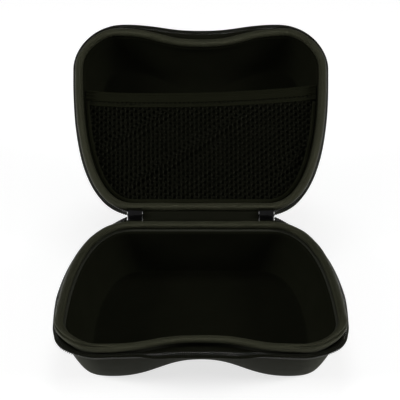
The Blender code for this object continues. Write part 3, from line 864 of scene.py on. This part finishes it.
def pocket_net():
    """Knitted net: six-sided holes in staggered columns with rounded threads between them."""
    column_step, row_step = 3.04, 4.34
    wide, tall = column_step / 1.5, row_step / 2
    hole_wide, hole_tall = 1.22, 1.16
    edge = lining_edge(0.5)
    ring = ((1.0, 0.0), (0.5, 1.0), (-0.5, 1.0), (-1.0, 0.0), (-0.5, -1.0), (0.5, -1.0))
    points, lookup, faces, raised = [], {}, [], []

    def corner(x, u):
        key = (round(x * 20), round(u * 20))
        if key not in lookup:
            lookup[key] = len(points)
            points.append((x, u))
            raised.append(1.0)
        return lookup[key]

    for column in range(-29, 30):
        x = column * column_step
        for row in range(20):
            u = NET_FIRST_ROW + (row + 0.5 * (column % 2)) * row_step
            reach = float(edge_reach(u, edge))
            if abs(x) > reach + wide or u > band_low(x) + 4.0:
                continue
            shift = 0.16 * noise.noise(Vector((x / 5.0, u / 5.0, 2.0)))
            slant = 0.16 * noise.noise(Vector((x / 6.0, u / 6.0, 9.0)))
            grow = 1.0 + 0.16 * noise.noise(Vector((x / 9.0, u / 9.0, 5.0)))
            outer, inner = [], []
            for a, b in ring:
                outer.append(corner(x + wide * a, u + tall * b))
                points.append((x + shift + hole_wide * grow * a, u + slant + hole_tall * grow * b * 0.92))
                raised.append(0.0)
                inner.append(len(points) - 1)
            for k in range(6):
                k2 = (k + 1) % 6
                faces.append((outer[k], outer[k2], inner[k2], inner[k]))
    flat = np.array(points)
    flat[:, 0], flat[:, 1] = gathered(flat[:, 0], flat[:, 1])
    reach = edge_reach(flat[:, 1], edge)
    flat[:, 0] = np.clip(flat[:, 0], -reach, reach)
    flat[:, 1] = np.minimum(flat[:, 1], band_low(flat[:, 0]) + 2.5)
    depth = net_depth(flat[:, 0], flat[:, 1]) - 0.22 * np.array(raised)
    space = np.stack([flat[:, 0], -flat[:, 1], depth], 1)
    uvs = [tuple(flat[i]) for f in faces for i in f]
    made = mesh_object("net_panel", space, faces, uvs, IN_LID, (NET_CLOTH,))
    thick = made.modifiers.new("thickness", "SOLIDIFY")
    thick.thickness = NET_THREAD * MM
    thick.offset = 0
    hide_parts("pocket_net")
    us = np.arange(10, 84, 0.5)
    area = float((2 * edge_reach(us, edge)).sum() * 0.5)
    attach(made, "lid")
    return made


def net_binding():
    """Cloth strip that covers the net's sewn edge along the lining."""
    edge = lining_edge(0.15)
    half = len(edge) // 2 + 1
    top = band_low(edge[:, 0])
    keep = [i for i in range(half) if -edge[i, 1] < top[i] - 0.2 and i <= int(np.argmax(edge[:half, 0]))]
    right = edge[keep]
    line = np.concatenate([right[::-1][:-1] * (-1, 1), right])
    way = np.gradient(line, axis=0)
    out = np.stack([-way[:, 1], way[:, 0]], 1)
    out /= np.linalg.norm(out, axis=1)[:, None]
    profile = ((0.0, 0.25), (0.5, 0.55), (1.4, 0.62), (2.4, 0.58), (2.9, 0.35), (2.9, 0.05),
               (1.4, -0.05), (0.0, -0.05))
    rings = []
    for across, lift in profile:
        flat = line - out * across
        deep = net_depth(flat[:, 0], -flat[:, 1]) - 0.2 - lift
        rings.append(np.concatenate([flat, deep[:, None]], 1))
    made = grid_object("net_binding", np.array(rings), IN_LID, (BAND_CLOTH,), closed_rows=True, caps=True)
    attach(made, "lid")
    return made


def band_wave(x):
    """How far the band waves out of its plane."""
    return waves(np.stack([x, 0 * x, 0 * x], 1), 21.0, 5) * 0.35


def band_profile():
    """The folded elastic's section: shares of its width, with places before and behind its middle."""
    outer, inner = [], []
    for k in np.concatenate([np.linspace(0, 0.40, 21), np.linspace(0.42, BAND_FOLD, 30)]):
        rib = 0.07 * abs(math.sin((k - BAND_SEAM) * 9 * math.pi)) if 0.40 < k < 0.84 else 0.0
        hem = 0.20 * math.exp(-((k - 0.10) / 0.09) ** 2)
        groove = -0.30 * math.exp(-((k - BAND_SEAM) / 0.035) ** 2)
        crease = -0.16 * math.exp(-((k - 0.72) / 0.02) ** 2)
        top = 0.24 * smooth(0.82, 0.92, k)
        outer.append((k, -BAND_HALF - rib - hem - groove - crease - top))
        inner.append((k, -BAND_HALF + BAND_LEAF))
    for a in np.linspace(0, math.pi, 9)[1:-1]:
        outer.append((BAND_FOLD + 0.080 * math.sin(a), -0.78 * math.cos(a) - 0.12))
        inner.append((BAND_FOLD + 0.028 * math.sin(a), (BAND_LEAF - BAND_HALF) * math.cos(a)))
    for k in np.linspace(BAND_FOLD, 0, 8):
        outer.append((k, BAND_HALF))
        inner.append((k, BAND_HALF - BAND_LEAF))
    return outer + inner[::-1]


def pocket_band():
    """Elastic folded over the net's top edge: a rolled top, soft ribs, a stitched groove and a hem."""
    edge = lining_edge(0.3)
    reach = float(edge_reach(POCKET_HEIGHT + 5, edge))
    x = np.linspace(-reach, reach, 500)
    low, wide = band_low(x), band_wide(x)
    depth = NET_DEPTH - 0.4
    wave = band_wave(x)
    gather = 0.22 * (1 - smooth(-reach + 4, -reach + 10, x)) + 0.14 * smooth(reach - 8, reach - 3, x)
    pit = (0.5 + 0.5 * np.cos(2 * math.pi * (x + reach - 1) / BAND_STITCH)) ** 4
    rings = []
    for k, off in band_profile():
        facing = 1 if off < -0.3 else 0
        pinch = gather * np.cos((k * 4.4 + 0.2) * 2 * math.pi) * facing
        pitted = 0.62 * pit * math.exp(-((k - BAND_SEAM) / 0.06) ** 2) * facing
        rings.append(np.stack([x, -(low + wide * k), depth + off + wave * 0.5 + pinch + pitted], 1))
    made = grid_object("band_elastic", np.array(rings), IN_LID, (BAND_CLOTH,), closed_rows=True, caps=True)
    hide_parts("pocket_band")
    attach(made, "lid")
    count = int(2 * (reach - 1) / BAND_STITCH)
    start = -reach + 1 + np.arange(count) * BAND_STITCH
    ends = []
    for shift in (-0.55, 0.55):
        xs = start + shift
        u = band_low(xs) + band_wide(xs) * BAND_SEAM
        ends.append(np.stack([xs, -u, depth - 0.46 + band_wave(xs) * 0.5], 1))
    lift = [np.array([0.0, 0.0, -1.0])] * count
    # Stitch dashes centred on the pits: their near-black colour is painted shade of the pits
    row = stitch_object("band_stitches", ends[0], ends[1], lift, 0.30, IN_LID, BAND_THREAD_AND_SHADE)
    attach(row, "lid")
    return made


# Cloth hinge

STRIP_HALF_WIDE = 39.72
STRIP_WALL = -6.75
STRIP_LOW = -13.0
STRIP_HALF_THICK = 0.22
WING_END = 50.6
WING_GAP = 0.02
BLEND_HALF = 0.0006


def hinge_cloth():
    """One cloth from the base's rear wall over the hinge axis to the lid's rear wall.

    Past the sliders only its two ends go on, wrapped close round the back of each roll.
    """
    reach = ROLL_WIDE + 0.75
    section = [(STRIP_WALL, STRIP_LOW), (STRIP_WALL, -9.5), (STRIP_WALL, -6.8)]
    for degrees in (-60, -35, -10, 10):
        a = math.radians(degrees)
        section.append((-RIM["rear"] + reach * math.cos(a), -ROLL_DEPTH + reach * math.sin(a)))
    section += [(-2.2, -1.15), (-1.1, -0.62), (-0.35, -0.32), (0.0, -0.2)]
    section = np.array(section)
    c, s = math.cos(-LID_OPEN), math.sin(-LID_OPEN)

    def to_lid(line):
        y, z = line[:, 0], -line[:, 1]
        return np.stack([y * c - z * s, y * s + z * c], 1)

    spine = np.concatenate([section, to_lid(section[::-1][1:])])
    spine[len(section) - 1] = (0.12, -0.05)
    wing = [(STRIP_WALL, STRIP_LOW), (STRIP_WALL, -9.5), (STRIP_WALL, -6.9)]
    for degrees in (-58, -35, -10, 12, 32, 50, 62):
        a = math.radians(degrees)
        y = -RIM["rear"] + (ROLL_WIDE + 0.34) * math.cos(a)
        wing.append((y, -ROLL_DEPTH + (ROLL_TALL + 0.50) * math.sin(a)))
    wing = np.array(wing)
    points, faces, uvs = [], [], []

    def sheet(line, xs):
        tangent = np.gradient(line, axis=0)
        tangent /= np.linalg.norm(tangent, axis=1)[:, None]
        normal = np.stack([-tangent[:, 1], tangent[:, 0]], 1)
        rings = []
        for sign, order in ((1, range(len(line))), (-1, reversed(range(len(line))))):
            for k in order:
                p = line[k] + normal[k] * STRIP_HALF_THICK * sign
                rings.append(np.stack([xs, np.full_like(xs, p[0]), np.full_like(xs, p[1])], 1))
        rings = np.array(rings)
        more, more_uvs = grid(rings, closed_rows=True, caps=True)
        first = len(points)
        points.extend(rings.reshape(-1, 3))
        faces.extend(tuple(i + first for i in f) for f in more)
        uvs.extend(more_uvs)

    sheet(spine, np.linspace(-STRIP_HALF_WIDE, STRIP_HALF_WIDE, 60))
    for line in (wing, to_lid(wing)):
        for sign in (-1, 1):
            sheet(line, sign * np.linspace(STRIP_HALF_WIDE + WING_GAP, WING_END, 9))
    made = mesh_object("hinge_cloth", points, faces, uvs, IN_BASE, (TAPE_CLOTH,))
    recalculate(made)
    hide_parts("hinge_strip")
    start, end = (0, HINGE.y - BLEND_HALF, HINGE.z), (0, HINGE.y + BLEND_HALF, HINGE.z)
    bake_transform(made)
    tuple(start)
    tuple(end)
    return made


# The two halves

shell("base_shell_cover", BASE_FLOOR, BASE_WALL, BASE_DEPTH, -1, IN_BASE, "base", "base_shell")
shell("lid_shell_cover", LID_FLOOR, LID_WALL, LID_DEPTH, 1, IN_LID, "lid", "lid_shell")
rim_roll("base_roll_cover", -1, IN_BASE, "base", "base_rim_roll", 1)
rim_roll("lid_roll_cover", 1, IN_LID, "lid", "lid_rim_roll", 2)
for half in (BASE_ZIP, LID_ZIP):
    zip_tape(half)
    zip_coil(half)
    zip_stitches(half)
pocket_net()
net_binding()
pocket_band()
hinge_cloth()

EDGE_SOFTENING = 0.22
for node in ("zip_slider_left", "zip_slider_right", "zip_pull_left", "zip_pull_right"):
    item = frame["nodes"][node]
    item.data.materials.clear()
    item.data.materials.append(SLIDER_METAL)
    soften = item.modifiers.new("edges", "BEVEL")
    soften.width = EDGE_SOFTENING * MM
    soften.segments = 2
    soften.limit_method = "ANGLE"
    soften.angle_limit = math.radians(40)


# Floor, light and camera: places and sizes in metres, the lens and its sensor in millimetres

FLOOR_SIZE = 12.0
FLOOR_DROP = 0.0002
FLOOR_BOUNCE = 0.30
FLOOR_SHADE = 0.50
FLOOR_GLOW = 0.72
WORLD_LIGHT = 0.05
LIGHT_TARGET = Vector((0.0, 0.03, 0.05))
CAMERA_LENS = 107.64
CAMERA_SENSOR = 36.0
CAMERA_SHIFT = -0.002
CAMERA_FRONT = 0.679
CAMERA_ABOVE = 0.452
CAMERA_DOWN_DEG = 32.9


def floor_finish(name):
    """White, with the soft shadow, wherever it is seen; a mid grey where it only bounces light back."""
    material = bpy.data.materials.new(name)
    material.use_nodes = True
    tree = material.node_tree
    bounce = tree.nodes["Principled BSDF"]
    bounce.inputs["Base Color"].default_value = (FLOOR_BOUNCE, FLOOR_BOUNCE, FLOOR_BOUNCE, 1)
    bounce.inputs["Roughness"].default_value = 0.9
    shade = tree.nodes.new("ShaderNodeBsdfDiffuse")
    shade.inputs["Color"].default_value = (FLOOR_SHADE, FLOOR_SHADE, FLOOR_SHADE, 1)
    glow = tree.nodes.new("ShaderNodeEmission")
    glow.inputs["Color"].default_value = (1, 1, 1, 1)
    glow.inputs["Strength"].default_value = FLOOR_GLOW
    both = tree.nodes.new("ShaderNodeAddShader")
    tree.links.new(shade.outputs[0], both.inputs[0])
    tree.links.new(glow.outputs[0], both.inputs[1])
    rays = tree.nodes.new("ShaderNodeLightPath")
    seen = rays.outputs["Is Camera Ray"]
    for other in ("Is Glossy Ray", "Is Transmission Ray"):
        either = tree.nodes.new("ShaderNodeMath")
        either.operation = "MAXIMUM"
        tree.links.new(seen, either.inputs[0])
        tree.links.new(rays.outputs[other], either.inputs[1])
        seen = either.outputs[0]
    pick = tree.nodes.new("ShaderNodeMixShader")
    tree.links.new(seen, pick.inputs[0])
    tree.links.new(bounce.outputs[0], pick.inputs[1])
    tree.links.new(both.outputs[0], pick.inputs[2])
    tree.links.new(pick.outputs[0], tree.nodes["Material Output"].inputs["Surface"])
    return material


def plane(name, size, place):
    mesh = bpy.data.meshes.new(name)
    h = size / 2
    mesh.from_pydata([(-h, -h, 0), (h, -h, 0), (h, h, 0), (-h, h, 0)], [], [(0, 1, 2, 3)])
    made = bpy.data.objects.new(name, mesh)
    made.location = place
    bpy.context.scene.collection.objects.link(made)
    return made


floor = plane("floor", FLOOR_SIZE, (0, 0, -FLOOR_DROP))
floor.data.materials.append(floor_finish("floor_white"))

world = bpy.data.worlds.new("studio")
world.use_nodes = True
background = world.node_tree.nodes["Background"]
background.inputs["Color"].default_value = (1, 1, 1, 1)
background.inputs["Strength"].default_value = WORLD_LIGHT
bpy.context.scene.world = world


def softbox(name, place, size, power):
    """Rectangular lamp that faces the case."""
    data = bpy.data.lights.new(name, "AREA")
    data.shape = "RECTANGLE"
    data.size, data.size_y = size
    data.energy = power
    made = bpy.data.objects.new(name, data)
    made.location = place
    way = LIGHT_TARGET - Vector(place)
    made.rotation_euler = way.to_track_quat("-Z", "Y").to_euler()
    bpy.context.scene.collection.objects.link(made)


softbox("light_above", (0.0, 0.55, 1.15), (0.5, 0.35), 2.6)
softbox("light_front", (0.0, -0.60, 1.00), (0.4, 0.3), 0.4)
softbox("light_left", (-1.05, -0.20, 0.48), (0.35, 0.4), 8.8)
softbox("light_right", (1.05, -0.20, 0.48), (0.35, 0.4), 8.8)

camera_data = bpy.data.cameras.new("camera")
camera_data.lens = CAMERA_LENS
camera_data.sensor_width = CAMERA_SENSOR
camera_data.shift_x = CAMERA_SHIFT
camera_data.clip_start = 0.01
camera_data.clip_end = 50.0
camera = bpy.data.objects.new("camera", camera_data)
camera.location = (0.0, HINGE.y - CAMERA_FRONT, HINGE.z + CAMERA_ABOVE)
camera.rotation_euler = (math.radians(90 - CAMERA_DOWN_DEG), 0, 0)
bpy.context.scene.collection.objects.link(camera)
bpy.context.scene.camera = camera

bpy.context.scene.view_settings.view_transform = "Standard"
